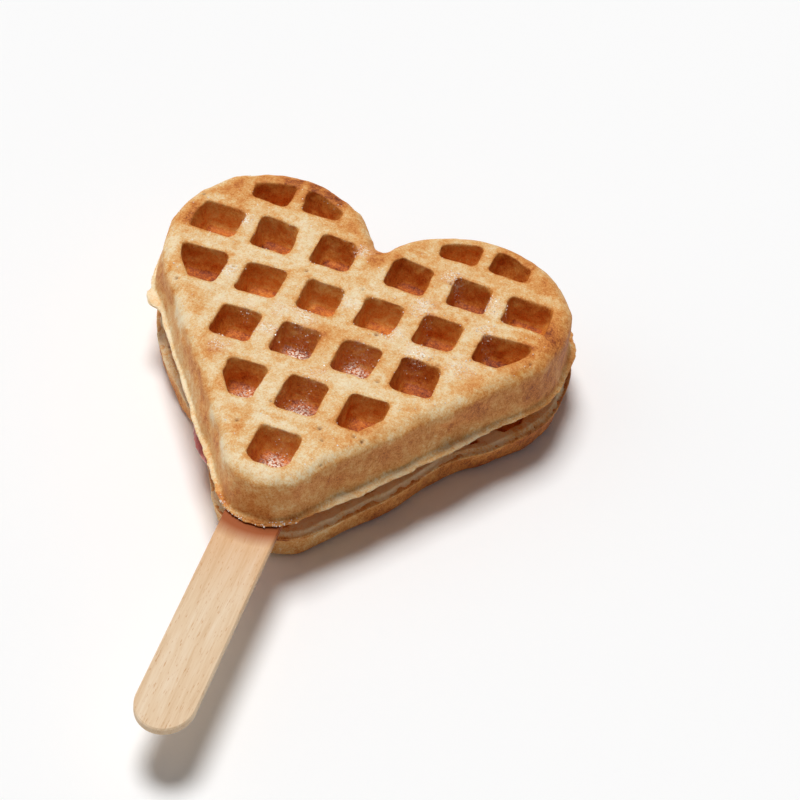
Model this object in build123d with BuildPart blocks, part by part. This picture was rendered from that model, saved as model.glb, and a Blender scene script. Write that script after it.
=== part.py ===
"""Heart-shaped waffle sandwich on a flat wooden stick.

Two baked heart leaves with a layer of fruit filling between them.  The upper
leaf is the thick one, and the stick is baked into it just under its parting
line.  Millimetres, +Z up.  The origin is on the surface that the lower leaf
rests on, under the rib that crosses the middle of the heart.  +Y runs from
the tip of the heart towards its lobes, and the stick leaves along -Y.
"""
import os
from math import asin, atan2, cos, degrees, hypot, radians, sin, tan

from build123d import *

os.makedirs("parts", exist_ok=True)

# Heart outline at the parting line of the upper leaf
heart_width = 103.0
heart_length = 105.0
lobe_top = 41.7
lobe_crossing = 0.3
lobe_stretch = 5.2
tip_radius = 11.5
notch_radius = 1.5

# Pocket pattern, whose rows are counted from the middle of the heart
column_pitch = 15.0
row_pitch = 16.5
pocket_width = 9.8
pocket_length = 10.8
outer_pocket_width = 12.4
tip_pocket_length = 11.5
pocket_corner = 0.9
pocket_draft = 9.0
rim_width = 4.8

# Upper leaf
upper_wall_height = 12.3
upper_draft = 5.0
upper_edge_radius = 2.4
upper_pocket_depth = 7.0
upper_back_height = 4.0
upper_back_inset = 1.5
upper_back_draft = 34.0
upper_back_pocket_depth = 1.8
upper_back_rim = 4.0

# Lower leaf, a thinner and blunter one that lies with its deep grid down
lower_growth = -0.3
lower_shift = 0.7
lower_setback = 1.7
lower_tip_rise = 3.3
lower_tip_radius = 14.0
lower_wall_height = 7.3
lower_draft = 6.0
lower_edge_radius = 1.8
lower_pocket_depth = 3.4
lower_back_height = 1.1
lower_back_inset = 0.3
lower_back_draft = 34.0
lower_back_pocket_depth = 2.2
lower_back_rim = 1.8
lower_lip_width = 0.5

# Thin fin of batter that the iron squeezes out at the parting line
fin_width = 1.1
fin_thickness = 0.8
fin_tab_width = 7.0
fin_tab_reach = 1.8
fin_tab_turn = 214.0

# Fruit filling
filling_thickness = 5.3
filling_inset = 10.0
filling_bulge_angle = 32.0
filling_corner_radius = 4.0
squeeze_length = 66.0
squeeze_width = 16.0
squeeze_inset = 2.4
squeeze_y = -24.0
bulge_length = 30.0
bulge_width = 12.0
bulge_inset = 0.6
bulge_y = -41.0

# Flat wooden stick
stick_length = 114.0
stick_width = 13.6
stick_thickness = 2.0
stick_end_reach = 8.0
stick_edge_bevel = 0.3
stick_turn = 2.1
stick_showing = 63.2
stick_below_parting = 0.6
stick_band_margin = 3.0
stick_clearance = 0.1

# Heights that follow from the stack
lower_parting_z = lower_wall_height
lower_top_z = lower_parting_z + lower_back_height
filling_top_z = lower_top_z + filling_thickness
upper_parting_z = filling_top_z + upper_back_height
upper_top_z = upper_parting_z + upper_wall_height
stick_top_z = upper_parting_z - stick_below_parting

# Places that follow from the outline
lobe_radius = (heart_width / 2 + lobe_crossing) / 2
lobe_x = heart_width / 2 - lobe_radius
lobe_y = lobe_top - lobe_radius - lobe_stretch / 2
lobe_low_y = lobe_y - lobe_stretch / 2
tip_y = lobe_top - heart_length

# Columns of each row, in column pitches from the axis; the last of a long row is a wide one
pocket_rows = {
    2.0: (1.21, 2.07),
    1.0: (0.65, 1.68, 2.70),
    0.0: (0.50, 1.50, 2.58),
    -1.0: (0.50, 1.50),
    -2.0: (0.0, 1.0),
    -3.1: (0.0,),
}
long_row = 3
# On the lower leaf's shallow side the pattern runs on to the rim
rim_rows = {**pocket_rows, -1.0: (0.50, 1.50, 2.45)}


def side_angle(end_y, end_radius):
    """Angle in radians between a straight side and the axis, for a tip that ends at end_y."""
    rise = lobe_low_y - end_y - end_radius
    return atan2(lobe_x, rise) + asin((lobe_radius - end_radius) / hypot(lobe_x, rise))


def heart_outline(growth, end_y=tip_y, end_radius=tip_radius):
    """Face of the heart, grown outwards by growth, with its tip ending at end_y."""
    side = side_angle(end_y, end_radius)
    side_out = (cos(side), -sin(side))
    lobe_touch = (lobe_x + lobe_radius * side_out[0], lobe_low_y + lobe_radius * side_out[1])
    tip_touch = (end_radius * side_out[0], end_y + end_radius + end_radius * side_out[1])
    with BuildSketch() as outline:
        with Locations((lobe_x, lobe_y), (-lobe_x, lobe_y)):
            SlotCenterToCenter(lobe_stretch, 2 * lobe_radius, rotation=90)
        with Locations((0, end_y + end_radius)):
            Circle(end_radius)
        with BuildLine():
            Polyline(
                lobe_touch,
                (0, lobe_y),
                (-lobe_touch[0], lobe_touch[1]),
                (-tip_touch[0], tip_touch[1]),
                tip_touch,
                close=True,
            )
        make_face()
        notch = outline.vertices().filter_by(lambda v: abs(v.X) < 0.01).sort_by(Axis.Y)[-1]
        fillet(notch, notch_radius)
        if growth:
            offset(amount=growth)
    return outline.sketch


def lower_outline(growth):
    """Face of the lower leaf's blunter heart."""
    return heart_outline(growth, tip_y + lower_tip_rise, lower_tip_radius)


def draft_inset(height, draft):
    """How far a wall of this height leans in at this draft angle."""
    return height * tan(radians(draft))


def pocket_plugs(plane, depth, rows, limit, corner=0.0, plain_band=0.0):
    """Solids that stamp the pockets, cut off at the limit and left out of a plain middle band."""
    with BuildPart() as plugs:
        with BuildSketch(plane) as openings:
            for row, columns in rows.items():
                length = tip_pocket_length if row < -1.5 else pocket_length
                for place, column in enumerate(columns, start=1):
                    width = outer_pocket_width if place == long_row else pocket_width
                    x, y = column * column_pitch, row * row_pitch
                    if plain_band and x - width / 2 < plain_band / 2:
                        continue
                    with Locations(*{(x, y), (-x, y)}):
                        Rectangle(width, length)
            if corner:
                chamfer(openings.vertices(), corner)
        extrude(amount=depth, taper=pocket_draft)
        with BuildSketch(plane):
            add(limit)
        extrude(amount=depth, taper=pocket_draft, mode=Mode.INTERSECT)
    return plugs.part


def round_edge(leaf, face, radius):
    """Round a flat face's edge off in narrow bevels that stay within the radius."""
    bevel = radius * (1 - tan(radians(22.5)) / 2)
    chamfer(leaf.faces().sort_by(Axis.Z)[face].edges(), bevel)
    chamfer(leaf.faces().sort_by(Axis.Z)[face].edges(), radius - bevel, 2 * (radius - bevel))


def side_place(y, inset):
    """Point that lies inset from the left straight side of the heart, level with y."""
    side = side_angle(tip_y, tip_radius)
    tip_touch_y = tip_y + tip_radius - tip_radius * sin(side)
    side_x = tip_radius * cos(side) + (y - tip_touch_y) * tan(side)
    return (-side_x + inset * cos(side), y + inset * sin(side))


def stick_plane(z):
    """Plane at height z whose -Y runs out along the stick from the tip of the heart."""
    return Plane(origin=(0, tip_y, z), x_dir=Vector(1, 0, 0).rotate(Axis.Z, stick_turn))


# Where the stick's middle lies along its own axis
stick_middle = stick_length / 2 - fin_width - stick_showing


def stick_profile(clearance):
    """Outline of the stick with its two rounded ends, seen from above."""
    straight = stick_length - 2 * stick_end_reach
    half_width = stick_width / 2 + clearance
    with BuildSketch() as profile:
        with Locations((0, stick_middle)):
            Rectangle(2 * half_width, straight)
        with Locations((0, stick_middle - straight / 2), (0, stick_middle + straight / 2)):
            Ellipse(half_width, stick_end_reach + clearance)
    return profile.sketch


# Upper leaf: deep grid on top, shallow one on its back, the stick's channel between them
with BuildPart() as upper_waffle:
    with BuildSketch(Plane.XY.offset(upper_parting_z)):
        add(heart_outline(0))
    extrude(amount=upper_wall_height, taper=upper_draft)
    round_edge(upper_waffle, -1, upper_edge_radius)
    with BuildSketch(Plane.XY.offset(upper_parting_z)):
        add(heart_outline(-upper_back_inset))
    extrude(amount=-upper_back_height, taper=upper_back_draft)
    with BuildSketch(Plane.XY.offset(upper_parting_z - fin_thickness / 2)):
        add(heart_outline(fin_width))
        with Locations((-lobe_x, lobe_low_y)):
            with PolarLocations(lobe_radius + fin_width, 1, fin_tab_turn):
                Ellipse(fin_tab_reach, fin_tab_width / 2)
    extrude(amount=fin_thickness)
    top_limit = heart_outline(-rim_width - draft_inset(upper_wall_height, upper_draft))
    top_plane = Plane.XY.offset(upper_top_z)
    add(
        pocket_plugs(top_plane, -upper_pocket_depth, pocket_rows, top_limit, pocket_corner),
        mode=Mode.SUBTRACT,
    )
    back_edge = upper_back_inset + draft_inset(upper_back_height, upper_back_draft)
    back_limit = heart_outline(-upper_back_rim - back_edge)
    back_plane = Plane.XY.offset(filling_top_z)
    stick_band = stick_width + 2 * stick_band_margin
    add(
        pocket_plugs(back_plane, upper_back_pocket_depth, pocket_rows, back_limit, plain_band=stick_band),
        mode=Mode.SUBTRACT,
    )
    with BuildSketch(stick_plane(stick_top_z + stick_clearance)):
        add(stick_profile(stick_clearance))
    extrude(amount=-stick_thickness - 2 * stick_clearance, mode=Mode.SUBTRACT)
upper_waffle.part.label = "upper_waffle"

# Lower leaf: its deep grid faces down, and a thin lip runs round its parting line
with BuildPart() as lower_waffle:
    with BuildSketch(Plane((lower_shift, lower_setback, lower_parting_z))):
        add(lower_outline(lower_growth))
    extrude(amount=-lower_wall_height, taper=lower_draft)
    round_edge(lower_waffle, 0, lower_edge_radius)
    with BuildSketch(Plane((lower_shift, lower_setback, lower_parting_z))):
        add(lower_outline(lower_growth - lower_back_inset))
    extrude(amount=lower_back_height, taper=lower_back_draft)
    with BuildSketch(Plane((lower_shift, lower_setback, lower_parting_z - fin_thickness / 2))):
        add(lower_outline(lower_growth + lower_lip_width))
    extrude(amount=fin_thickness)
    base_limit = lower_outline(lower_growth - rim_width - draft_inset(lower_wall_height, lower_draft))
    base_plane = Plane((lower_shift, lower_setback, 0))
    add(pocket_plugs(base_plane, lower_pocket_depth, pocket_rows, base_limit), mode=Mode.SUBTRACT)
    top_edge = lower_back_inset + draft_inset(lower_back_height, lower_back_draft)
    top_limit = lower_outline(lower_growth - lower_back_rim - top_edge)
    top_plane = Plane((lower_shift, lower_setback, lower_top_z))
    add(pocket_plugs(top_plane, -lower_back_pocket_depth, rim_rows, top_limit), mode=Mode.SUBTRACT)
lower_waffle.part.label = "lower_waffle"

# Filling, pressed out to the left straight side, where it bulges to the edge
side_turn = degrees(side_angle(tip_y, tip_radius))
with BuildPart() as filling:
    with BuildSketch(Plane.XY.offset((lower_top_z + filling_top_z) / 2)) as middle:
        add(heart_outline(-filling_inset))
        with Locations(side_place(squeeze_y, squeeze_inset + squeeze_width / 2)):
            SlotOverall(squeeze_length, squeeze_width, rotation=90 + side_turn)
        with Locations(side_place(bulge_y, bulge_inset + bulge_width / 2)):
            SlotOverall(bulge_length, bulge_width, rotation=90 + side_turn)
        offset(amount=filling_corner_radius)
        offset(amount=-filling_corner_radius)
    extrude(amount=filling_thickness / 2, taper=filling_bulge_angle)
    add(middle.sketch)
    extrude(amount=-filling_thickness / 2, taper=filling_bulge_angle)
filling.part.label = "filling"

# Stick
with BuildPart() as stick:
    with BuildSketch(stick_plane(stick_top_z - stick_thickness)):
        add(stick_profile(0))
    extrude(amount=stick_thickness)
    chamfer(stick.faces().filter_by(Axis.Z).edges(), stick_edge_bevel)
stick.part.label = "stick"

export_step(upper_waffle.part, "parts/upper_waffle.step")
export_step(lower_waffle.part, "parts/lower_waffle.step")
export_step(filling.part, "parts/filling.step")
export_step(stick.part, "parts/stick.step")
for piece in (upper_waffle.part, lower_waffle.part, filling.part, stick.part):
    print(piece.label, round(piece.volume), "mm3", len(piece.solids()), "solid", piece.bounding_box())
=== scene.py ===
"""Heart-shaped waffle sandwich on a flat wooden stick, dressed for a white studio table.

Lengths are written in millimetres and turned into metres when a mesh is made.
The frame is the part's own: +Z up, the heart's tip and the stick towards -Y.
"""
import logging
import math
from dataclasses import dataclass, field
from enum import Enum

import bmesh
import bpy
import numpy as np
from mathutils import Matrix, Vector


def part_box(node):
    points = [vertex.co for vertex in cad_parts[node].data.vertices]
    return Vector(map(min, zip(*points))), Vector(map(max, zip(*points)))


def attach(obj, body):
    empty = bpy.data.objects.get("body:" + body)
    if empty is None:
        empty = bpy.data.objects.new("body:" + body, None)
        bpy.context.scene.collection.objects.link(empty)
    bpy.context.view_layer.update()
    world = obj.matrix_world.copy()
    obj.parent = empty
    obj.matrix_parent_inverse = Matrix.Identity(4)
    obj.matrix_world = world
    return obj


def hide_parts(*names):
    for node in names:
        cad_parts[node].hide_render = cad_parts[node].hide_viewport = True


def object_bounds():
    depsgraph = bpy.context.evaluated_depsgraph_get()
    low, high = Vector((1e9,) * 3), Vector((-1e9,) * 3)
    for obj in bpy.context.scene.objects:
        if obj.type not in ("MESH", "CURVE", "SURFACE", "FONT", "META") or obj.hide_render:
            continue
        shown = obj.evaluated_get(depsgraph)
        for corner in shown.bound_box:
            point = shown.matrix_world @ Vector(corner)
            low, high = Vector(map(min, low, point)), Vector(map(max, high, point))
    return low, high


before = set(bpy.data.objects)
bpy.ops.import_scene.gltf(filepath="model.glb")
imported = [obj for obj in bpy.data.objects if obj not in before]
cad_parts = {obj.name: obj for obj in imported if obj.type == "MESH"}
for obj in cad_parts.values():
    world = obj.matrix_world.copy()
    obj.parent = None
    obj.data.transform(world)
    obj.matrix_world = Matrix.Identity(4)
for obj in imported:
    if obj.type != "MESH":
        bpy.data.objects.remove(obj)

Spots = tuple[tuple[float, float, float, float], ...]
Rows = tuple[tuple[float, tuple[float, ...]], ...]

log = logging.getLogger("waffle")
MM = 0.001
CAD_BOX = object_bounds()


class Body(Enum):
    """Rigid bodies of the part that a piece can ride on."""

    LOWER = "lower"
    UPPER = "upper"
    STICK = "stick"


# Small helpers


def linear(red: int, green: int, blue: int) -> tuple[float, float, float, float]:
    """Turn a display colour into the linear colour that shaders take.

    Args:
        red: Red from 0 to 255.
        green: Green from 0 to 255.
        blue: Blue from 0 to 255.

    Returns:
        Linear red, green, blue and an alpha of 1.
    """
    def channel(value: int) -> float:
        """Undo the display curve for one channel."""
        share = value / 255
        return share / 12.92 if share <= 0.04045 else ((share + 0.055) / 1.055) ** 2.4

    return (channel(red), channel(green), channel(blue), 1.0)


def smooth_step(low: float, high: float, values: np.ndarray) -> np.ndarray:
    """Ease from 0 at low to 1 at high, where high may lie below low."""
    share = np.clip((values - low) / (high - low), 0.0, 1.0)
    return share * share * (3 - 2 * share)


def lattice_noise(points: np.ndarray, wavelength: float, seed: int) -> np.ndarray:
    """Smooth value noise that is the same on every run.

    Args:
        points: Positions in mm, one row each.
        wavelength: Size of one lattice cell in mm.
        seed: Number that picks the pattern.

    Returns:
        One value from -1 to 1 for each point.
    """
    scaled = points / wavelength
    cell = np.floor(scaled).astype(np.int64)
    share = scaled - cell
    share = share * share * share * (share * (share * 6 - 15) + 10)
    total = np.zeros(len(points))
    for corner in range(8):
        step = np.array([corner & 1, corner >> 1 & 1, corner >> 2 & 1])
        at = cell + step
        mixed = (at[:, 0] * 374761393 + at[:, 1] * 668265263 + at[:, 2] * 2147483647 + seed * 974634777)
        mixed = (mixed ^ (mixed >> 13)) & 0xFFFFFFFF
        mixed = (mixed * 1274126177) & 0xFFFFFFFF
        mixed = (mixed ^ (mixed >> 16)) & 0xFFFF
        weight = np.prod(np.where(step, share, 1 - share), axis=1)
        total += weight * (mixed / 32767.5 - 1)
    return total


def rough_noise(points: np.ndarray, wavelength: float, seed: int, octaves: int = 3) -> np.ndarray:
    """Sum of ever finer lattice noise.

    Args:
        points: Positions in mm, one row each.
        wavelength: Cell size of the coarsest octave in mm.
        seed: Number that picks the pattern.
        octaves: How many octaves are summed.

    Returns:
        One value for each point, mostly from -1 to 1.
    """
    total = np.zeros(len(points))
    for octave in range(octaves):
        total += lattice_noise(points, wavelength / 2**octave, seed + 17 * octave) / 2**octave
    return total / 1.6


def mesh_points(mesh: bpy.types.Mesh) -> np.ndarray:
    """Read a mesh's vertices in mm."""
    flat = np.empty(len(mesh.vertices) * 3, np.float32)
    mesh.vertices.foreach_get("co", flat)
    return flat.reshape(-1, 3).astype(float) / MM


def mesh_normals(mesh: bpy.types.Mesh) -> np.ndarray:
    """Read a mesh's vertex normals."""
    flat = np.empty(len(mesh.vertices) * 3, np.float32)
    mesh.vertex_normals.foreach_get("vector", flat)
    return flat.reshape(-1, 3).astype(float)


def write_points(mesh: bpy.types.Mesh, points: np.ndarray) -> None:
    """Write vertices given in mm back into a mesh."""
    mesh.vertices.foreach_set("co", (points * MM).astype(np.float32).ravel())
    mesh.update()


def relax(mesh: bpy.types.Mesh, rounds: int, share: np.ndarray | float = 1.0) -> None:
    """Soften a mesh by moving each vertex towards the mean of its neighbours.

    Args:
        mesh: Mesh to soften in place.
        rounds: How many times the step is made.
        share: How much each vertex takes part, from 0 to 1.
    """
    pairs = np.empty(len(mesh.edges) * 2, np.int32)
    mesh.edges.foreach_get("vertices", pairs)
    first, second = pairs.reshape(-1, 2).T
    points = mesh_points(mesh)
    count = len(points)
    degree = np.bincount(first, minlength=count) + np.bincount(second, minlength=count)
    step = 0.5 * np.broadcast_to(share, count)[:, None]
    for _ in range(rounds):
        mean = np.empty_like(points)
        for axis in range(3):
            total = np.bincount(first, points[second, axis], count)
            total += np.bincount(second, points[first, axis], count)
            mean[:, axis] = total / np.maximum(degree, 1)
        points = points * (1 - step) + mean * step
    write_points(mesh, points)


def blob(points: np.ndarray, x: float, y: float, reach: float) -> np.ndarray:
    """Bell of height 1 about a spot seen from above, where reach is in mm."""
    return np.exp(-((points[:, 0] - x) ** 2 + (points[:, 1] - y) ** 2) / reach**2)


def keep_in_box(points: np.ndarray) -> np.ndarray:
    """Hold points in mm inside the part's box."""
    low, high = (np.array(corner) / MM for corner in CAD_BOX)
    return np.clip(points, low + 0.01, high - 0.01)


def set_layer(mesh: bpy.types.Mesh, name: str, values: np.ndarray) -> None:
    """Store one number for each vertex under a name that finishes can read."""
    layer = mesh.attributes.new(name, "FLOAT", "POINT")
    layer.data.foreach_set("value", values.astype(np.float32))


def piece_from(name: str, mesh: bpy.types.Mesh) -> bpy.types.Object:
    """Put a smooth-shaded mesh into the scene as a piece."""
    piece = bpy.data.objects.new(name, mesh)
    bpy.context.scene.collection.objects.link(piece)
    mesh.shade_smooth()
    return piece


def remeshed(node: str, name: str, voxel: float) -> bpy.types.Mesh:
    """Make an even, closed mesh of a node's solid.

    Args:
        node: Name of the CAD node.
        name: Name of the new mesh.
        voxel: Spacing of the new vertices in mm.

    Returns:
        The new mesh.
    """
    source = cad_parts[node].data.copy()
    work = bmesh.new()
    work.from_mesh(source)
    bmesh.ops.remove_doubles(work, verts=work.verts, dist=1e-6)
    work.to_mesh(source)
    work.free()
    helper = bpy.data.objects.new(name + "_helper", source)
    bpy.context.scene.collection.objects.link(helper)
    grid = helper.modifiers.new("even", "REMESH")
    grid.mode = "VOXEL"
    grid.voxel_size = voxel * MM
    ready = helper.evaluated_get(bpy.context.evaluated_depsgraph_get())
    mesh = bpy.data.meshes.new_from_object(ready)
    mesh.name = name
    mesh.materials.clear()
    bpy.data.objects.remove(helper)
    return mesh


# Finishes


class NodeTree:
    """Short way to write down a material's nodes."""

    def __init__(self, name: str) -> None:
        """Start a material with a Principled shader wired to its output.

        Args:
            name: Name of the material.
        """
        self.material = bpy.data.materials.new(name)
        self.material.use_nodes = True
        self.tree = self.material.node_tree
        self.shader = self.tree.nodes["Principled BSDF"]

    def add(self, kind: str, inputs: dict | None = None, **settings: object) -> bpy.types.Node:
        """Add a node.

        Args:
            kind: Blender's name of the node type, without its ShaderNode prefix.
            inputs: Values or sockets for its inputs, by name or number.
            **settings: Properties of the node.

        Returns:
            The new node.
        """
        node = self.tree.nodes.new("ShaderNode" + kind)
        for key, value in settings.items():
            setattr(node, key, value)
        for key, value in (inputs or {}).items():
            if isinstance(value, bpy.types.NodeSocket):
                self.tree.links.new(value, node.inputs[key])
            else:
                node.inputs[key].default_value = value
        return node

    def math(self, operation: str, *values: object) -> bpy.types.NodeSocket:
        """Add a Math node and return its result."""
        return self.add("Math", dict(enumerate(values)), operation=operation).outputs[0]

    def layer(self, name: str) -> bpy.types.NodeSocket:
        """Read a per-vertex layer of the mesh."""
        return self.add("Attribute", attribute_name=name).outputs["Fac"]

    def place(self) -> bpy.types.NodeSocket:
        """Position on the piece, in metres in the part's frame."""
        return self.add("TexCoord").outputs["Object"]

    def noise(
        self, scale: float, detail: float = 3, rough: float = 0.55, at: object = None
    ) -> bpy.types.NodeSocket:
        """Noise from 0 to 1.

        Args:
            scale: Cells per metre.
            detail: Octaves.
            rough: Weight of the finer octaves.
            at: Socket with the position, or None for the piece's own.

        Returns:
            The noise's value.
        """
        inputs = {"Vector": at or self.place(), "Scale": scale, "Detail": detail, "Roughness": rough}
        return self.add("TexNoise", inputs).outputs[0]

    def ramp(self, value: object, *stops: tuple[float, tuple[int, int, int]]) -> bpy.types.NodeSocket:
        """Turn a value into a colour.

        Args:
            value: Socket with the value.
            *stops: Position and display colour of each stop, in order.

        Returns:
            The colour.
        """
        node = self.add("ValToRGB", {0: value})
        stones = node.color_ramp.elements
        for _ in range(len(stops) - 2):
            stones.new(0.5)
        for stone, (position, colour) in zip(stones, stops):
            stone.position = position
            stone.color = linear(*colour)
        return node.outputs[0]

    def mix(self, share: object, first: object, second: object, blend: str = "MIX") -> bpy.types.NodeSocket:
        """Mix two colours.

        Args:
            share: Share of the second colour, as a number or socket.
            first: First colour.
            second: Second colour.
            blend: Blender's name of the blend mode.

        Returns:
            The mixed colour.
        """
        inputs = {0: share, 6: first, 7: second}
        return self.add("Mix", inputs, data_type="RGBA", blend_type=blend).outputs[2]

    def bump(
        self, height: object, strength: float, distance: float, below: object = None
    ) -> bpy.types.NodeSocket:
        """Add a bump.

        Args:
            height: Socket with the height.
            strength: How much of the bump is used.
            distance: Height of the bump in mm.
            below: Normal of a bump that this one lies on.

        Returns:
            The bumped normal.
        """
        inputs = {"Height": height, "Strength": strength, "Distance": distance * MM}
        if below:
            inputs["Normal"] = below
        return self.add("Bump", inputs).outputs[0]

    def set(self, **inputs: object) -> None:
        """Set or wire the shader's inputs, whose spaces are written as underscores."""
        for key, value in inputs.items():
            socket = self.shader.inputs[key.replace("_", " ")]
            if isinstance(value, bpy.types.NodeSocket):
                self.tree.links.new(value, socket)
            else:
                socket.default_value = value


@dataclass(frozen=True)
class BakedCrust:
    """Baked batter, from cream over golden to deep brown by the toast layer, which also carries painted shade
    and painted light; on top lie a warm painted shade in the pockets and white sugar specks that are partly
    painted glints.
    """

    name: str
    roughness: float = 0.62
    patch_share: float = 0.6
    spot_share: float = 0.7
    grain_share: float = 0.95

    def build(self) -> bpy.types.Material:
        """Make the material."""
        nodes = NodeTree(self.name)
        patch = nodes.math("SUBTRACT", nodes.noise(170, 5, 0.62), 0.5)
        spots = nodes.math("SUBTRACT", nodes.noise(620, 4, 0.7), 0.5)
        grain = nodes.math("SUBTRACT", nodes.noise(2300, 3, 0.85), 0.5)
        # The toast layer holds the baked tone together with painted shade and painted light.
        level = nodes.math("MULTIPLY_ADD", patch, self.patch_share, nodes.layer("toast_and_shade"))
        level = nodes.math("MULTIPLY_ADD", spots, self.spot_share, level)
        level = nodes.math("MULTIPLY_ADD", grain, self.grain_share, level)
        colour = nodes.ramp(
            level,
            (0.0, (247, 227, 190)),
            (0.16, (240, 208, 158)),
            (0.3, (234, 184, 120)),
            (0.44, (225, 156, 82)),
            (0.6, (208, 124, 50)),
            (0.8, (160, 78, 28)),
            (1.0, (84, 34, 14)),
        )
        # Warm darkening multiplied over the pockets: painted shade.
        colour = nodes.mix(nodes.layer("pocket_shade"), colour, linear(255, 234, 172), "MULTIPLY")
        colour = nodes.mix(nodes.layer("pore"), colour, linear(112, 54, 14))
        # White specks on the sugared spots, partly real sugar and partly painted glints; they also lower the
        # roughness.
        speckle = nodes.add("MapRange", {0: nodes.noise(1700, 3, 0.7), 1: 0.46, 2: 0.56}).outputs[0]
        sugar_glint = nodes.math("MULTIPLY", nodes.layer("sugar_glint"), speckle)
        colour = nodes.mix(sugar_glint, colour, linear(255, 244, 226))
        dimples = nodes.add("TexVoronoi", {"Vector": nodes.place(), "Scale": 950.0}).outputs[0]
        normal = nodes.bump(dimples, 0.4, 0.16)
        normal = nodes.bump(nodes.noise(2900, 4, 0.7), 0.65, 0.2, normal)
        shine = nodes.math("MULTIPLY_ADD", sugar_glint, -0.4, self.roughness)
        nodes.set(
            Base_Color=colour,
            Roughness=shine,
            Normal=normal,
            Subsurface_Weight=0.06,
            Subsurface_Radius=(1.0, 0.55, 0.25),
            Subsurface_Scale=0.0014,
            Specular_IOR_Level=0.35,
        )
        return nodes.material


@dataclass(frozen=True)
class FruitFilling:
    """Set red fruit filling, glossy and a little see-through at thin places."""

    name: str = "fruit_filling"

    def build(self) -> bpy.types.Material:
        """Make the material."""
        nodes = NodeTree(self.name)
        colour = nodes.ramp(
            nodes.noise(420, 3),
            (0.3, (126, 26, 14)),
            (0.55, (186, 58, 40)),
            (0.75, (222, 122, 94)),
        )
        nodes.set(
            Base_Color=colour,
            Roughness=0.28,
            Normal=nodes.bump(nodes.noise(900, 2), 0.4, 0.3),
            Subsurface_Weight=0.25,
            Subsurface_Radius=(1.0, 0.25, 0.2),
            Subsurface_Scale=0.002,
        )
        return nodes.material


@dataclass(frozen=True)
class BeechWood:
    """Pale beech with short rays along the stick, with a warm painted shade towards the waffle and a browned
    band, partly painted shadow, under the waffle's tip.
    """

    turn: float
    waffle_tip_y: float
    tip_radius: float = 11.5
    fin_width: float = 1.1
    warm_shade_length: float = 30.0
    # Reach of the browned band, which is partly painted shadow under the fin.
    scorch_and_shadow_near: float = 2.2
    scorch_and_shadow_far: float = 6.5
    scorch_and_shadow_length: float = 16.0
    name: str = "beech"

    def build(self) -> bpy.types.Material:
        """Make the material."""
        nodes = NodeTree(self.name)
        inputs = {"Vector": nodes.place(), "Angle": -math.radians(self.turn)}
        turned = nodes.add("VectorRotate", inputs, rotation_type="Z_AXIS").outputs[0]
        colour, fibres = self.grain(nodes, turned)
        along = nodes.add("SeparateXYZ", {0: turned}).outputs[1]
        # Warm tint growing towards the waffle: painted shade.
        warm_shade = self.fade(nodes, along, self.waffle_tip_y - self.warm_shade_length, self.waffle_tip_y)
        warm_shade = nodes.math("MULTIPLY", nodes.math("POWER", warm_shade, 1.4), 0.6)
        colour = nodes.mix(warm_shade, colour, linear(222, 158, 96))
        # Brown band under the tip's rim: partly browning, partly painted shadow of the fin.
        scorch_and_shadow = nodes.math("MULTIPLY", self.scorch_and_shadow(nodes, along), 0.97)
        colour = nodes.mix(scorch_and_shadow, colour, linear(158, 76, 20))
        normal = nodes.bump(fibres, 0.25, 0.08)
        nodes.set(Base_Color=colour, Roughness=0.55, Normal=normal, Specular_IOR_Level=0.35)
        return nodes.material

    def grain(
        self, nodes: NodeTree, turned: bpy.types.NodeSocket
    ) -> tuple[bpy.types.NodeSocket, bpy.types.NodeSocket]:
        """Fibres and short dark rays that run along the stick.

        Args:
            nodes: Node tree of the material.
            turned: Position with the stick along Y.

        Returns:
            The wood's colour and the height of its fibres.
        """
        long_grain = nodes.add("Mapping", {"Vector": turned, "Scale": (1.0, 0.045, 1.0)}).outputs[0]
        short_rays = nodes.add("Mapping", {"Vector": turned, "Scale": (1.0, 0.14, 1.0)}).outputs[0]
        fibres = nodes.noise(2400, 4, 0.6, long_grain)
        bands = nodes.noise(420, 2, 0.5, long_grain)
        rays = nodes.noise(3600, 2, 0.5, short_rays)
        level = nodes.math("MULTIPLY_ADD", fibres, 0.5, nodes.math("MULTIPLY", bands, 0.5))
        wood = nodes.ramp(level, (0.3, (214, 176, 134)), (0.5, (230, 200, 164)), (0.7, (240, 218, 190)))
        dash = nodes.ramp(rays, (0.62, (255, 255, 255)), (0.72, (222, 186, 150)))
        return nodes.mix(0.7, wood, dash, "MULTIPLY"), fibres

    def scorch_and_shadow(self, nodes: NodeTree, along: bpy.types.NodeSocket) -> bpy.types.NodeSocket:
        """Browned band that follows the round rim of the waffle's tip and fades inside it, partly real
        browning and partly painted shadow under the overhanging fin.

        Args:
            nodes: Node tree of the material.
            along: Position along the stick in metres.

        Returns:
            Strength of the browning and painted shadow from 0 to 1.
        """
        middle = (0.0, (self.waffle_tip_y + self.tip_radius) * MM, 0.0)
        flatten = {0: nodes.place(), 1: (1.0, 1.0, 0.0)}
        planar = nodes.add("VectorMath", flatten, operation="MULTIPLY").outputs[0]
        reach = nodes.add("VectorMath", {0: planar, 1: middle}, operation="DISTANCE").outputs["Value"]
        edge = self.tip_radius + self.fin_width
        outward = self.fade(nodes, reach, edge + self.scorch_and_shadow_far, edge + self.scorch_and_shadow_near)
        inward = self.fade(nodes, along, self.waffle_tip_y + self.scorch_and_shadow_length, self.waffle_tip_y + 2)
        return nodes.math("MULTIPLY", outward, inward)

    @staticmethod
    def fade(nodes: NodeTree, value: object, none: float, full: float) -> bpy.types.NodeSocket:
        """Go from 0 to 1 between two lengths in mm."""
        return nodes.add("MapRange", {0: value, 1: none * MM, 2: full * MM}).outputs[0]


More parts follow.
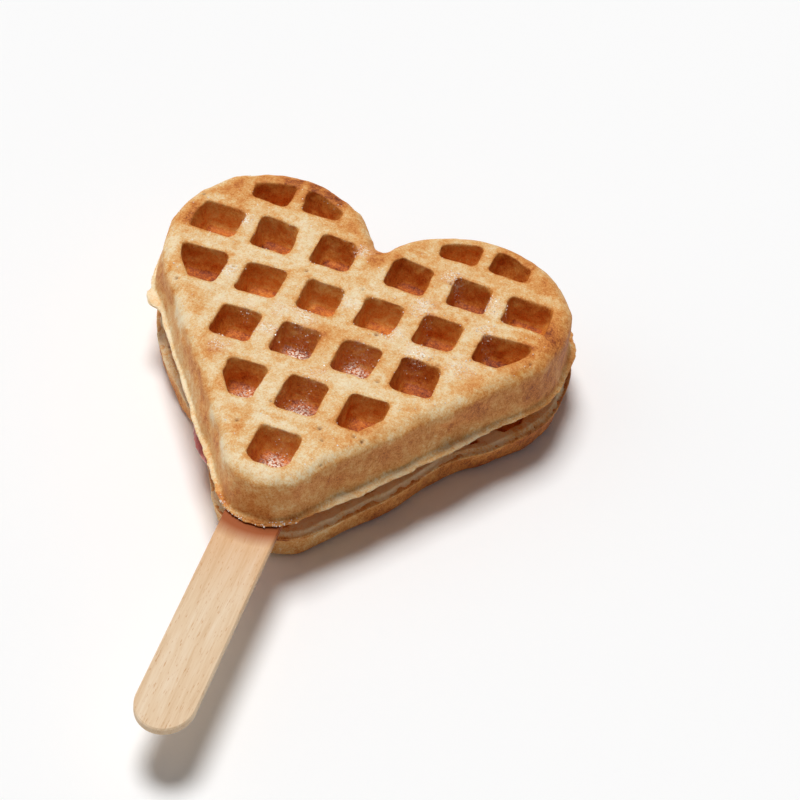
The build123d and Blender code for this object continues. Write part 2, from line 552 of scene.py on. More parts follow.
@dataclass(frozen=True)
class SugarGrain:
    """White sugar crystals."""

    name: str = "sugar"

    def build(self) -> bpy.types.Material:
        """Make the material."""
        nodes = NodeTree(self.name)
        colour = nodes.ramp(nodes.noise(1500, 1), (0.35, (250, 232, 208)), (0.65, (255, 252, 246)))
        nodes.set(Base_Color=colour, Roughness=0.22, Specular_IOR_Level=0.7)
        return nodes.material


# Pieces


@dataclass(frozen=True)
class HeartForm:
    """Outline of the heart at the upper leaf's parting line."""

    width: float = 103.0
    length: float = 105.0
    lobe_top: float = 41.7
    lobe_radius: float = 25.9
    lobe_stretch: float = 5.2
    tip_radius: float = 11.5

    @property
    def lobe_x(self) -> float:
        """Distance of a lobe's middle from the axis."""
        return self.width / 2 - self.lobe_radius

    @property
    def lobe_high(self) -> float:
        """Height along Y of the middle of a lobe's upper arc."""
        return self.lobe_top - self.lobe_radius

    @property
    def lobe_low(self) -> float:
        """Height along Y of the middle of a lobe's lower arc."""
        return self.lobe_high - self.lobe_stretch

    @property
    def tip_middle(self) -> float:
        """Height along Y of the middle of the tip's arc."""
        return self.lobe_top - self.length + self.tip_radius

    @property
    def side_angle(self) -> float:
        """Angle between a straight side and the axis, in radians."""
        rise = self.lobe_low - self.tip_middle
        run = math.hypot(self.lobe_x, rise)
        return math.atan2(self.lobe_x, rise) + math.asin((self.lobe_radius - self.tip_radius) / run)

    def inset(self, points: np.ndarray) -> np.ndarray:
        """Distance of points from the outline, positive inside.

        Args:
            points: Positions in mm, one row each.

        Returns:
            One distance in mm for each point.
        """
        x, y = np.abs(points[:, 0]), points[:, 1]
        out = np.array([math.cos(self.side_angle), -math.sin(self.side_angle)])
        along = np.array([math.sin(self.side_angle), math.cos(self.side_angle)])
        run = x * along[0] + (y - self.tip_middle) * along[1]
        top_run = self.lobe_x * along[0] + (self.lobe_low - self.tip_middle) * along[1]
        side = self.tip_radius - (x * out[0] + (y - self.tip_middle) * out[1])
        tip = self.tip_radius - np.hypot(x, y - self.tip_middle)
        near = np.clip(y, self.lobe_low, self.lobe_high)
        lobe = self.lobe_radius - np.hypot(x - self.lobe_x, y - near)
        return np.where(run < 0, tip, np.where(run < top_run, side, lobe))

    def loop(self, growth: float, step: float) -> tuple[np.ndarray, np.ndarray]:
        """Closed row of points round the outline.

        Args:
            growth: How far outside the outline the points lie, in mm.
            step: Spacing of the points in mm.

        Returns:
            Points and outward directions, from the notch round the right lobe.
        """
        radius = self.lobe_radius + growth
        start = math.acos(max(-1.0, -self.lobe_x / radius))
        end = -self.side_angle
        rows: list[tuple[float, float, float, float]] = []

        def arc(cx: float, cy: float, r: float, first: float, last: float) -> None:
            """Add the points of one arc."""
            for angle in np.arange(first, last, -step / r):
                across, along = math.cos(angle), math.sin(angle)
                rows.append((cx + r * across, cy + r * along, across, along))

        def line(first: tuple[float, float], last: tuple[float, float], angle: float) -> None:
            """Add the points of one straight run."""
            gap = math.dist(first, last)
            for run in np.arange(0, gap, step):
                share = run / gap
                rows.append(
                    (
                        first[0] + (last[0] - first[0]) * share,
                        first[1] + (last[1] - first[1]) * share,
                        math.cos(angle),
                        math.sin(angle),
                    )
                )

        arc(self.lobe_x, self.lobe_high, radius, start, 0.0)
        line((self.lobe_x + radius, self.lobe_high), (self.lobe_x + radius, self.lobe_low), 0.0)
        arc(self.lobe_x, self.lobe_low, radius, 0.0, end)
        tip = self.tip_radius + growth
        line(
            (self.lobe_x + radius * math.cos(end), self.lobe_low + radius * math.sin(end)),
            (tip * math.cos(end), self.tip_middle + tip * math.sin(end)),
            end,
        )
        arc(0.0, self.tip_middle, tip, end, -math.pi / 2)
        half = np.array(rows)
        other = half[::-1] * np.array([-1, 1, -1, 1])
        whole = np.vstack([half, other])
        return whole[:, :2], whole[:, 2:]


@dataclass(frozen=True)
class PocketGrid:
    """Pockets of one leaf, seen from above."""

    pitch_x: float = 15.0
    pitch_y: float = 16.5
    width: float = 9.8
    length: float = 10.8
    wide: float = 12.4
    tip_length: float = 11.5
    rows: Rows = (
        (2.0, (1.21, 2.07)),
        (1.0, (0.65, 1.68, 2.70)),
        (0.0, (0.50, 1.50, 2.58)),
        (-1.0, (0.50, 1.50)),
        (-2.0, (0.0, 1.0)),
        (-3.1, (0.0,)),
    )

    def pockets(self) -> list[tuple[float, float, float, float]]:
        """Middle, width and length of each pocket, in mm."""
        found = []
        for row, columns in self.rows:
            for place, column in enumerate(columns, start=1):
                width = self.wide if place == 3 else self.width
                length = self.tip_length if row < -1.5 else self.length
                for side in (1, -1) if column else (1,):
                    found.append((side * column * self.pitch_x, row * self.pitch_y, width, length))
        return found

    def outside(self, points: np.ndarray) -> tuple[np.ndarray, np.ndarray]:
        """Distance of points from the nearest pocket's edge, negative inside, and that pocket's number.

        Args:
            points: Positions in mm, one row each.

        Returns:
            Distances in mm and pocket numbers.
        """
        best = np.full(len(points), 99.0)
        owner = np.zeros(len(points), int)
        for number, (x, y, width, length) in enumerate(self.pockets()):
            gap = np.maximum(np.abs(points[:, 0] - x) - width / 2, np.abs(points[:, 1] - y) - length / 2)
            closer = gap < best
            best[closer] = gap[closer]
            owner[closer] = number
        return best, owner


# Spots hold x, y and reach in mm, then the strength, or the push or extra width in mm.
TOASTED: Spots = (
    (-46.6, 14.4, 5, 0.26),
    (-38, 29, 9, 0.22),
    (-24, 38, 9, 0.3),
    (-15, 37, 5, 0.34),
    (-10, 27, 6, 0.24),
    (0, 19, 6, 0.26),
    (50, 12, 7, 0.4),
    (47, 2, 7, 0.3),
    (38, 36, 9, 0.2),
    (-3, -12.5, 5, 0.26),
    (20, -18, 5, 0.12),
    (-38, -8, 4, 0.16),
    (22, 3, 6, 0.1),
)
# Spots of sugar, which place the crystals and the white specks that are partly painted glints.
SUGAR_AND_GLINT_SPOTS: Spots = (
    (0.4, -49.3, 2.4, 1.0),
    (-0.1, -32.2, 2.8, 1.0),
    (-13.8, -32.2, 2.2, 0.9),
    (7.3, -14.0, 2.6, 0.8),
    (-7.5, -14.2, 2.6, 0.9),
    (-33.9, 18.7, 1.9, 0.9),
    (-30.7, -0.2, 2.0, 0.9),
    (-22.2, -9.5, 1.6, 0.5),
    (-15.0, -15.8, 2.0, 0.9),
    (-8.7, -7.6, 2.6, 0.8),
    (-0.7, 1.0, 2.0, 0.7),
    (-23.8, -25.0, 2.2, 0.5),
    (-14.7, -8.0, 2.0, 0.8),
    (-3.6, 20.1, 1.8, 0.6),
    (19.2, 21.1, 2.2, 0.9),
    (31.1, 15.2, 2.6, 0.8),
    (16.4, 7.3, 2.6, 0.9),
    (31.5, -8.8, 2.8, 0.6),
    (20.4, -8.3, 2.8, 0.9),
    (32.2, 6.1, 2.2, 0.6),
    (12.8, -4.3, 2.6, 0.8),
    (1.0, -25.0, 2.2, 0.4),
)
# Rows hold a row's place in pitches and its columns' places on one side of the axis.
RIM_ROWS: Rows = (
    (2.0, (1.21, 2.07)),
    (1.0, (0.65, 1.68, 2.70)),
    (0.0, (0.50, 1.50, 2.58)),
    (-1.0, (0.50, 1.50, 2.45)),
    (-2.0, (0.0, 1.0)),
    (-3.1, (0.0,)),
)


@dataclass(frozen=True)
class CrumbRelief:
    """Heights of the crumb's unevenness, in mm."""

    sway: float = 0.45
    fine_sway: float = 0.16
    swell: float = 0.2
    ripple: float = 0.13
    pocket_ripple: float = 0.16
    sink: float = 0.12
    pore_depth: float = 0.7
    pore_count: int = 44
    fin_step: float = 0.35
    fin_wave: float = 0.25


@dataclass(frozen=True)
class BakeLevels:
    """How dark each part of a leaf is baked, from 0 for cream to 1 for deep brown. The extra darkness of the
    pocket floors is painted shade, and the last level is the strength of a warm painted shade multiplied over
    the pockets.
    """

    rib: float = 0.21
    rib_middle: float = 0.14
    pocket_edge: float = 0.16
    wall: float = 0.48
    wall_back: float = 0.3
    dust: float = 0.26
    pocket: float = 0.44
    # Extra darkness of the pocket floors: painted shade.
    painted_floor_shade: float = 0.26
    fin: float = 0.17
    fin_back: float = 0.4
    fin_tip: float = 0.34
    # Strength of the warm painted shade inside the pockets.
    pocket_shade: float = 0.85


@dataclass
class WaffleLeaf:
    """One baked leaf of the sandwich."""

    node: str
    body: Body
    top: float
    parting: float
    bottom: float
    pocket_depth: float
    growth: float
    middle: tuple[float, float]
    fin_width: float
    raggedness: float
    seed: int
    voxel: float = 0.42
    toasted: Spots = ()
    sugar_and_glint_spots: Spots = ()
    form: HeartForm = field(default_factory=HeartForm)
    grid: PocketGrid = field(default_factory=PocketGrid)
    tabs: Spots = ()
    relief: CrumbRelief = field(default_factory=CrumbRelief)
    bake: BakeLevels = field(default_factory=BakeLevels)
    crust: bpy.types.Object | None = None
    fin: bpy.types.Object | None = None

    def build(self) -> None:
        """Make the leaf's crust and its fin."""
        finish = BakedCrust(self.node + "_crust").build()
        self.make_crust(finish)
        self.make_fin(finish)

    def local(self, points: np.ndarray) -> np.ndarray:
        """Points as they lie about the leaf's own middle."""
        return points - np.array([*self.middle, 0.0])

    def make_crust(self, finish: bpy.types.Material) -> None:
        """Turn the solid into soft, uneven crumb and dress it.

        Args:
            finish: Material of the crust.
        """
        mesh = remeshed(self.node, self.node + "_crust", self.voxel)
        relax(mesh, 1)
        rest = mesh_points(mesh)
        place = self.local(rest)
        below = self.top - rest[:, 2]
        inset = self.form.inset(place) + self.growth
        outer = smooth_step(5.0, 3.0, inset) * smooth_step(6.5, 4.0, below) * (self.top - self.parting > 5)
        floor = smooth_step(0.5 * self.pocket_depth, 0.8 * self.pocket_depth, below)
        floor *= smooth_step(3.0, 5.0, inset)
        relax(mesh, 12, np.maximum(outer, floor * (below < self.pocket_depth + 0.5)))
        rest = mesh_points(mesh)
        normals = mesh_normals(mesh)
        place = self.local(rest)
        sway = np.column_stack([lattice_noise(place, 7.0, self.seed + axis) for axis in (1, 2)])
        fine_sway = np.column_stack([lattice_noise(place, 2.2, self.seed + axis) for axis in (3, 4)])
        points = rest.copy()
        points[:, :2] += sway * self.relief.sway + fine_sway * self.relief.fine_sway
        lift = self.relief.swell * rough_noise(place, 9.0, self.seed + 5, 2)
        lift += self.relief.ripple * rough_noise(place, 2.6, self.seed + 6, 3)
        gap, owner = self.grid.outside(place)
        in_pocket = smooth_step(0.5, -0.3, gap) * smooth_step(0.1, 0.8, below) * smooth_step(1.2, 2.6, inset)
        in_pocket *= smooth_step(self.pocket_depth + 2.5, self.pocket_depth + 1.5, below)
        lift += in_pocket * self.relief.pocket_ripple * rough_noise(place, 1.5, self.seed + 7, 2)
        pore = self.pores(place, below, gap)
        points += normals * (lift - self.relief.sink - self.relief.pore_depth * pore)[:, None]
        points = self.settle(points)
        points[:, 2] = np.clip(points[:, 2], self.bottom + 0.01, self.top - 0.02)
        write_points(mesh, keep_in_box(points))
        set_layer(mesh, "toast_and_shade", self.toast_and_shade(place, normals, below, gap, owner, inset, in_pocket))
        set_layer(mesh, "pore", pore)
        # White sugar specks, partly painted glints.
        set_layer(mesh, "sugar_glint", self.sugar_glint(place, below))
        # Inside the pockets the crust gets a warm painted shade.
        set_layer(mesh, "pocket_shade", in_pocket * self.bake.pocket_shade)
        mesh.materials.append(finish)
        self.crust = piece_from(self.node + "_crust", mesh)
        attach(self.crust, self.body.value)
        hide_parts(self.node)
        log.info("%s crust: %d vertices", self.node, len(mesh.vertices))

    def settle(self, points: np.ndarray) -> np.ndarray:
        """Leave the points as they are; each leaf gives itself its own sag or dent."""
        return points

    def sugar_glint(self, place: np.ndarray, below: np.ndarray) -> np.ndarray:
        """How much white sugar film lies on each point, from 0 to 1, whose white specks are partly sugar and
        partly painted glints.

        Args:
            place: Points about the leaf's middle.
            below: Depth of each point below the top.

        Returns:
            One value for each point.
        """
        film = np.zeros(len(place))
        for x, y, reach, strength in self.sugar_and_glint_spots:
            film = np.maximum(film, strength * blob(place, x, y, reach))
        patchy = smooth_step(-0.25, 0.5, rough_noise(place, 3.0, self.seed + 41, 3))
        above_floor = smooth_step(self.pocket_depth + 1, self.pocket_depth, below)
        return np.clip(film * (0.6 + 0.9 * patchy), 0, 1) * above_floor

    def pores(self, place: np.ndarray, below: np.ndarray, gap: np.ndarray) -> np.ndarray:
        """Small dark holes scattered over the ribs, strongest at 1.

        Args:
            place: Points about the leaf's middle.
            below: Depth of each point below the top.
            gap: Distance of each point from the nearest pocket.

        Returns:
            Strength of the pore at each point.
        """
        spots = np.random.default_rng(self.seed).uniform((-48, -60), (48, 40), (self.relief.pore_count, 2))
        strength = np.zeros(len(place))
        candidates = np.flatnonzero((below < 1.2) & (gap > 0.1))
        for number, spot in enumerate(spots):
            radius = 0.2 + 0.24 * ((number * 7) % 10) / 10
            near = candidates[np.hypot(*(place[candidates, :2] - spot).T) < radius * 2.5]
            hole = np.exp(-((np.hypot(*(place[near, :2] - spot).T) / radius) ** 2))
            strength[near] = np.maximum(strength[near], hole)
        return strength

    def toast_and_shade(
        self,
        place: np.ndarray,
        normals: np.ndarray,
        below: np.ndarray,
        gap: np.ndarray,
        owner: np.ndarray,
        inset: np.ndarray,
        in_pocket: np.ndarray,
    ) -> np.ndarray:
        """How dark the crust is at each point, from 0 for cream to 1 for deep brown: the baked tone with
        painted shade and painted light in the pockets.

        Args:
            place: Points about the leaf's middle.
            normals: Directions of the surface.
            below: Depth of each point below the top.
            gap: Distance of each point from the nearest pocket.
            owner: Number of the nearest pocket.
            inset: Distance of each point from the outline.
            in_pocket: How far each point is in a pocket.

        Returns:
            One value for each point.
        """
        fin = smooth_step(0.6, -0.3, inset)
        wall = smooth_step(0.97, 0.35, normals[:, 2]) * smooth_step(6.0, 3.5, inset)
        wall = np.maximum(wall, smooth_step(2.0, 4.0, below) * (1 - in_pocket))
        level = self.rib_toast(place, gap, inset)
        level = level * (1 - wall) + self.wall_toast(place) * wall
        level = level * (1 - fin) + self.fin_toast(place) * fin
        level = level * (1 - in_pocket) + self.pocket_toast_and_shade(place, normals, below, owner) * in_pocket
        return np.clip(level, 0.02, 0.98)

    def rib_toast(self, place: np.ndarray, gap: np.ndarray, inset: np.ndarray) -> np.ndarray:
        """How dark the ribs are baked: darker where they cross, at pocket edges and at toasted spots."""
        level = self.bake.rib + 0.16 * rough_noise(place, 13.0, self.seed + 21, 3)
        level += self.bake.rib_middle * smooth_step(2.3, 4.2, gap) * smooth_step(2.0, 5.0, inset)
        level += self.bake.pocket_edge * smooth_step(1.3, 0.0, gap)
        for x, y, reach, strength in self.toasted:
            level += strength * blob(place, x, y, reach)
        return level

    def wall_toast(self, place: np.ndarray) -> np.ndarray:
        """How dark the outer wall is baked: darkest at the back, with dusty pale patches near its top."""
        x, y = place[:, 0], place[:, 1]
        height = (place[:, 2] - self.parting) / (self.top - self.parting)
        level = self.bake.wall - 0.14 * smooth_step(0.6, 1.0, height) + 0.06 * smooth_step(0.35, 0.1, height)
        level += 0.12 * rough_noise(place, 7.0, self.seed + 22, 3) + 0.1 * smooth_step(-10, 45, x)
        dusty = smooth_step(0.05, 0.5, rough_noise(place, 9.0, self.seed + 24, 2))
        level -= self.bake.dust * dusty * smooth_step(0.3, 0.8, height)
        return level + self.bake.wall_back * smooth_step(12, 30, y) * smooth_step(30, 2, np.abs(x - 12))

    def pocket_toast_and_shade(
        self, place: np.ndarray, normals: np.ndarray, below: np.ndarray, owner: np.ndarray
    ) -> np.ndarray:
        """How dark the pockets are: each pocket's own baked tone, with the upward floors darkened as painted
        shade and the walls that face the front lightened as painted light.

        Args:
            place: Points about the leaf's middle.
            normals: Directions of the surface.
            below: Depth of each point below the top.
            owner: Number of the nearest pocket, which gives each pocket its own shade.

        Returns:
            One value for each point.
        """
        level = self.bake.pocket + np.sin(owner * 12.9898) * 0.05 + 0.1 * smooth_step(5, 45, place[:, 0])
        # Floors that face up are darkened: painted shade.
        floor = smooth_step(0.4, 0.9, normals[:, 2]) * smooth_step(0.4, 0.8, below / self.pocket_depth)
        level += self.bake.painted_floor_shade * floor
        # Walls that face the front, towards -Y, are lightened: painted light.
        level -= 0.05 * smooth_step(0.3, 0.9, -normals[:, 1])
        return level + 0.12 * rough_noise(place, 4.0, self.seed + 23, 3)

    def fin_toast(self, place: np.ndarray) -> np.ndarray:
        """How dark the fin is baked: palest at the left, darkest at the back and the tip."""
        x, y = place[:, 0], place[:, 1]
        level = self.bake.fin + 0.16 * rough_noise(place, 5.0, self.seed + 35, 3)
        level -= 0.1 * smooth_step(-10, -40, x)
        level += self.bake.fin_back * smooth_step(-5, 30, y) * smooth_step(30, 5, np.abs(x - 8))
        level += self.bake.fin_tip * smooth_step(-52, -61, y) + 0.26 * smooth_step(38, 50, x)
        return np.clip(level, 0, 1)

    def make_fin(self, finish: bpy.types.Material) -> None:
        """Make the ragged fin round the parting line.

        Args:
            finish: Material of the fin.
        """
        base, out = self.form.loop(self.growth, self.relief.fin_step)
        base = base + np.array(self.middle)
        flat = np.column_stack([base, np.full(len(base), self.parting)])
        fine = rough_noise(flat, 2.4, self.seed + 31, 4)
        ragged = 1 + self.raggedness * (0.55 * fine + 0.35 * lattice_noise(flat, 14.0, self.seed + 32))
        width = np.clip(self.fin_width * ragged, 0.25, 2.0) * (1 - 0.4 * smooth_step(-5, -25, base[:, 0]))
        for x, y, reach, extra in self.tabs:
            away = ((base[:, 0] - x) ** 2 + (base[:, 1] - y) ** 2) / reach**2
            width = width + extra * np.exp(-(away**2))
        wave = self.relief.fin_wave * rough_noise(flat, 5.0, self.seed + 33, 3)
        uneven = 0.85 + 0.3 * lattice_noise(flat, 1.1, self.seed + 34)
        rows = []
        for share, half in ((-0.9, 0.5), (0.35, 0.34), (0.8, 0.22), (1.0, 0.08)):
            for side in (1, -1):
                reach = base + out * (width * share if share > 0 else np.full(len(base), share))[:, None]
                rise = self.parting + wave * max(share, 0) + side * half * uneven
                rows.append(np.column_stack([reach, rise]))
        order = (0, 2, 4, 6, 7, 5, 3, 1)
        ring = np.stack([rows[number] for number in order], axis=1)
        count, turn = ring.shape[:2]
        first = np.arange(count)[:, None] * turn
        after = np.roll(first, -1)
        here, beside = np.arange(turn), (np.arange(turn) + 1) % turn
        faces = np.stack([first + here, first + beside, after + beside, after + here], axis=-1).reshape(-1, 4)
        points = keep_in_box(self.settle(ring.reshape(-1, 3)))
        mesh = bpy.data.meshes.new(self.node + "_fin")
        mesh.from_pydata((points * MM).tolist(), [], faces.tolist())
        mesh.update()
        work = bmesh.new()
        work.from_mesh(mesh)
        bmesh.ops.recalc_face_normals(work, faces=work.faces)
        work.to_mesh(mesh)
        work.free()
        set_layer(mesh, "toast_and_shade", self.fin_toast(self.local(points)))
        for name in ("pore", "sugar_glint", "pocket_shade"):
            set_layer(mesh, name, np.zeros(len(points)))
        mesh.materials.append(finish)
        self.fin = piece_from(self.node + "_fin", mesh)
        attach(self.fin, self.body.value)
        log.info("%s fin: %d vertices", self.node, len(points))


@dataclass
class UpperLeaf(WaffleLeaf):
    """Thick upper leaf, whose right lobe sagged a little."""

    sag: float = 3.0
    droop: float = 1.2

    def settle(self, points: np.ndarray) -> np.ndarray:
        """Let the right lobe down, and its far edge a little more."""
        x, y = np.maximum(points[:, 0], 0), np.maximum(points[:, 1], 0) / 1.1
        drop = (1.05 * np.maximum(y - 5, 0) ** 2 + 0.28 * x**2 + 1.73 * x * y) / 1000
        drop = self.sag * np.tanh(drop / self.sag) * smooth_step(-4, 12, points[:, 0])
        edge = smooth_step(5, 0, self.form.inset(points)) * smooth_step(4, 14, points[:, 0])
        drop += self.droop * edge * smooth_step(22, 34, points[:, 1])
        lowered = points.copy()
        lowered[:, 2] -= drop * smooth_step(self.bottom, self.bottom + 4, points[:, 2])
        return lowered


@dataclass
class LowerLeaf(WaffleLeaf):
    """Thin lower leaf, dented on its right straight side and swollen in two places on its left."""

    swells: Spots = (
        (35.0, -21.0, 10.0, -2.4),
        (-42.0, -12.0, 14.0, 2.4),
        (-13.0, -52.0, 9.0, 1.8),
    )

    def settle(self, points: np.ndarray) -> np.ndarray:
        """Push the rim out at each swelling and in at the dent."""
        near_rim = smooth_step(10, 3, self.form.inset(self.local(points)))
        angle = self.form.side_angle
        moved = points.copy()
        for x, y, reach, amount in self.swells:
            push = amount * blob(points, x, y, reach) * near_rim
            moved[:, 0] += push * math.copysign(math.cos(angle), x)
            moved[:, 1] -= push * math.sin(angle)
        return moved

    def fin_toast(self, place: np.ndarray) -> np.ndarray:
        """Bake the narrow lip browner than the upper leaf's fin."""
        return np.clip(super().fin_toast(place) + 0.2, 0, 1)

    def toast_and_shade(self, place: np.ndarray, normals: np.ndarray, *measures: np.ndarray) -> np.ndarray:
        """Paint the upward-facing top paler, as painted light on a top that lies in the upper leaf's shade,
        and make the tip's wall paler too.
        """
        level = super().toast_and_shade(place, normals, *measures)
        # Upward-facing surfaces are lightened: painted light.
        level -= 0.22 * smooth_step(0.5, 0.9, normals[:, 2])
        level -= 0.2 * smooth_step(-40, -56, place[:, 1]) * smooth_step(0.9, 0.5, normals[:, 2])
        return np.clip(level, 0.02, 0.98)


@dataclass
class SugarDusting:
    """Sugar crystals on the upper leaf, thickest on its sugared spots and along the fin's tip."""

    leaf: WaffleLeaf
    loose: int = 260
    beads: int = 90
    smallest: float = 0.07
    largest: float = 0.26

    def build(self) -> None:
        """Strew the crystals over the crust and along the fin's tip."""
        chance = np.random.default_rng(5)
        mesh = self.leaf.crust.data
        points, normals = mesh_points(mesh), mesh_normals(mesh)
        high = self.leaf.top - self.leaf.pocket_depth - 0.5
        seen = (normals[:, 2] > -0.2) & (points[:, 2] > high)
        spots = list(chance.choice(np.flatnonzero(points[:, 2] > self.leaf.top - 1.5), self.loose))
        for x, y, reach, strength in self.leaf.sugar_and_glint_spots:
            gap = np.hypot(points[:, 0] - x, points[:, 1] - y)
            near = np.flatnonzero(seen & (gap < reach * 1.6))
            weight = np.exp(-((gap[near] / reach) ** 2))
            spots.extend(chance.choice(near, round(24 * strength * reach), p=weight / weight.sum()))
        places, leans = points[spots], normals[spots]
        rim, rim_normals = mesh_points(self.leaf.fin.data), mesh_normals(self.leaf.fin.data)
        tip = np.flatnonzero((rim[:, 1] < -59) & (rim_normals[:, 2] > 0))
        picked = chance.choice(tip, self.beads)
        places, leans = np.vstack([places, rim[picked]]), np.vstack([leans, rim_normals[picked]])
        corners = np.array([(1, 0, 0), (-1, 0, 0), (0, 1, 0), (0, -1, 0), (0, 0, 1), (0, 0, -1)], float)
        upper_sides = [(0, 2, 4), (2, 1, 4), (1, 3, 4), (3, 0, 4)]
        lower_sides = [(2, 0, 5), (1, 2, 5), (3, 1, 5), (0, 3, 5)]
        sides = np.array(upper_sides + lower_sides)
        count = len(places)
        size = chance.uniform(self.smallest, self.largest, (count, 1, 1))
        shape = corners[None] * size * chance.uniform(0.6, 1.3, (count, 6, 1))
        spin = np.linalg.qr(chance.normal(size=(count, 3, 3)))[0]
        shape = np.einsum("nij,nkj->nki", spin, shape)
        shape += (places + leans * 0.04)[:, None]
        faces = (sides[None] + 6 * np.arange(count)[:, None, None]).reshape(-1, 3)
        heap = bpy.data.meshes.new("sugar_grains")
        heap.from_pydata((keep_in_box(shape.reshape(-1, 3)) * MM).tolist(), [], faces.tolist())
        heap.materials.append(SugarGrain().build())
        grains = bpy.data.objects.new("sugar_grains", heap)
        bpy.context.scene.collection.objects.link(grains)
        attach(grains, self.leaf.body.value)
        log.info("sugar: %d crystals", count)


@dataclass
class FillingLayer:
    """Fruit filling pressed between the leaves."""

    node: str = "filling"
    voxel: float = 0.6
    outward: tuple[float, float] = (-0.87, -0.49)
    swells: Spots = ((-21.5, -40.0, 6.0, 1.8), (-38.0, -16.0, 16.0, 1.2))

    def build(self) -> None:
        """Make the uneven layer and dress it."""
        mesh = remeshed(self.node, "fruit_layer", self.voxel)
        relax(mesh, 4)
        points = mesh_points(mesh)
        normals = mesh_normals(mesh)
        points += normals * (0.45 * rough_noise(points, 5.0, 71, 3) - 0.2)[:, None]
        for x, y, reach, amount in self.swells:
            points[:, :2] += (amount * blob(points, x, y, reach))[:, None] * np.array(self.outward)
        low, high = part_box(self.node)
        points[:, 2] = np.clip(points[:, 2], low.z / MM, high.z / MM)
        write_points(mesh, keep_in_box(points))
        mesh.materials.append(FruitFilling().build())
        layer = piece_from("fruit_layer", mesh)
        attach(layer, Body.LOWER.value)
        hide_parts(self.node)
        log.info("fruit layer: %d vertices", len(mesh.vertices))


@dataclass
class FlatStick:
    """Flat beech stick, whose solid is kept as it is."""

    node: str = "stick"
    turn: float = 2.1
    tip_y: float = -63.3

    def build(self) -> None:
        """Dress the stick."""
        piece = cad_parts[self.node]
        piece.data.materials.clear()
        piece.data.materials.append(BeechWood(self.turn, self.tip_y).build())
        log.info("stick: dressed")


# Studio


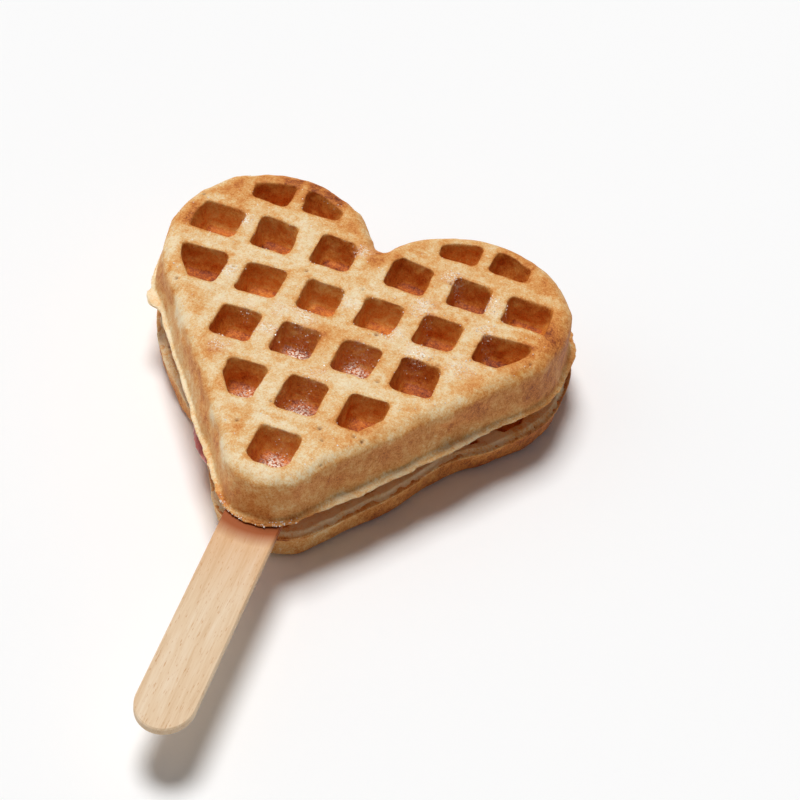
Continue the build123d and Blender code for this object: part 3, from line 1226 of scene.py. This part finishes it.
@dataclass
class Studio:
    """White table, soft light and the camera."""

    elevation: float = 44.35
    azimuth: float = 13.74
    roll: float = 7.33
    distance: float = 700.0
    pixels: float = 800.0
    pixels_per_mm: float = 4.193
    seen_point: tuple[float, float, float] = (0.0, 0.0, 30.0)
    seen_at: tuple[float, float] = (349.32, 305.57)
    key_strength: float = 2.6
    side_strength: float = 0.32
    fill_strength: float = 0.12

    def build(self) -> None:
        """Make the camera, the table and the lights."""
        self.make_camera()
        self.make_table()
        self.make_light()

    def make_camera(self) -> None:
        """Place the camera so that the seen point falls on its pixel."""
        turn, up_angle, roll = (math.radians(value) for value in (self.azimuth, self.elevation, self.roll))
        level = Vector((-math.sin(turn), math.cos(turn), 0))
        ahead = level * math.cos(up_angle) - Vector((0, 0, math.sin(up_angle)))
        right = Vector((math.cos(turn), math.sin(turn), 0))
        above = right.cross(ahead)
        across = right * math.cos(roll) + above * math.sin(roll)
        upward = above * math.cos(roll) - right * math.sin(roll)
        focal = self.pixels_per_mm * self.distance
        off_x = (self.seen_at[0] - self.pixels / 2) / focal * self.distance
        off_y = -(self.seen_at[1] - self.pixels / 2) / focal * self.distance
        spot = Vector(self.seen_point) - across * off_x - upward * off_y - ahead * self.distance
        lens = bpy.data.cameras.new("camera")
        lens.sensor_width = 36.0
        lens.lens = focal / self.pixels * lens.sensor_width
        lens.clip_start = 0.05
        lens.clip_end = 10
        camera = bpy.data.objects.new("camera", lens)
        facing = Matrix((across, upward, -ahead)).transposed().to_4x4()
        camera.matrix_world = Matrix.Translation(spot * MM) @ facing
        bpy.context.scene.collection.objects.link(camera)
        bpy.context.scene.camera = camera
        log.info("camera: lens %.1f mm", lens.lens)

    def make_table(self) -> None:
        """Make the white table top that takes the shadow."""
        mesh = bpy.data.meshes.new("table")
        mesh.from_pydata([(-3, -3, 0), (3, -3, 0), (3, 3, 0), (-3, 3, 0)], [], [(0, 1, 2, 3)])
        nodes = NodeTree("table_white")
        nodes.set(Base_Color=(0.98, 0.98, 0.98, 1.0), Roughness=0.9, Specular_IOR_Level=0.0)
        mesh.materials.append(nodes.material)
        table = piece_from("table", mesh)

    def make_light(self) -> None:
        """Light the table softly from the upper left and behind."""
        world = bpy.data.worlds.new("studio")
        bpy.context.scene.world = world
        world.use_nodes = True
        world.node_tree.nodes["Background"].inputs[0].default_value = (1, 1, 1, 1)
        world.node_tree.nodes["Background"].inputs[1].default_value = self.fill_strength
        self.add_lamp("key", self.key_strength, 24, (0.2, -0.16, -1.0))
        self.add_lamp("side", self.side_strength, 60, (0.8, 0.25, -0.6))
        bpy.context.scene.view_settings.view_transform = "Standard"

    @staticmethod
    def add_lamp(name: str, strength: float, spread: float, toward: tuple[float, float, float]) -> None:
        """Add a distant soft lamp.

        Args:
            name: Name of the lamp.
            strength: Its strength.
            spread: Angle in degrees that it fills in the sky.
            toward: Direction that its light travels in.
        """
        lamp = bpy.data.lights.new(name, "SUN")
        lamp.energy = strength
        lamp.angle = math.radians(spread)
        holder = bpy.data.objects.new(name, lamp)
        holder.rotation_euler = Vector(toward).to_track_quat("-Z", "Y").to_euler()
        bpy.context.scene.collection.objects.link(holder)


def main() -> None:
    """Build the studio and each sub-assembly in order."""
    logging.basicConfig(level=logging.INFO, format="%(name)s: %(message)s")
    Studio().build()
    LowerLeaf(
        node="lower_waffle",
        body=Body.LOWER,
        top=8.4,
        parting=7.3,
        bottom=0.0,
        pocket_depth=2.2,
        growth=-0.3,
        middle=(0.7, 1.7),
        fin_width=0.5,
        raggedness=0.25,
        seed=400,
        toasted=((46, 4, 8, 0.2),),
        form=HeartForm(length=101.7, tip_radius=14.0),
        grid=PocketGrid(rows=RIM_ROWS),
    ).build()
    FillingLayer().build()
    upper = UpperLeaf(
        node="upper_waffle",
        body=Body.UPPER,
        top=30.0,
        parting=17.7,
        bottom=13.7,
        pocket_depth=7.0,
        growth=0.0,
        middle=(0.0, 0.0),
        fin_width=1.15,
        raggedness=1.0,
        seed=100,
        toasted=TOASTED,
        sugar_and_glint_spots=SUGAR_AND_GLINT_SPOTS,
        tabs=((-47.0, -3.8, 3.4, 2.2), (24.0, -32.0, 26.0, 0.8)),
    )
    upper.build()
    SugarDusting(upper).build()
    FlatStick().build()


if __name__ == "__main__":
    main()
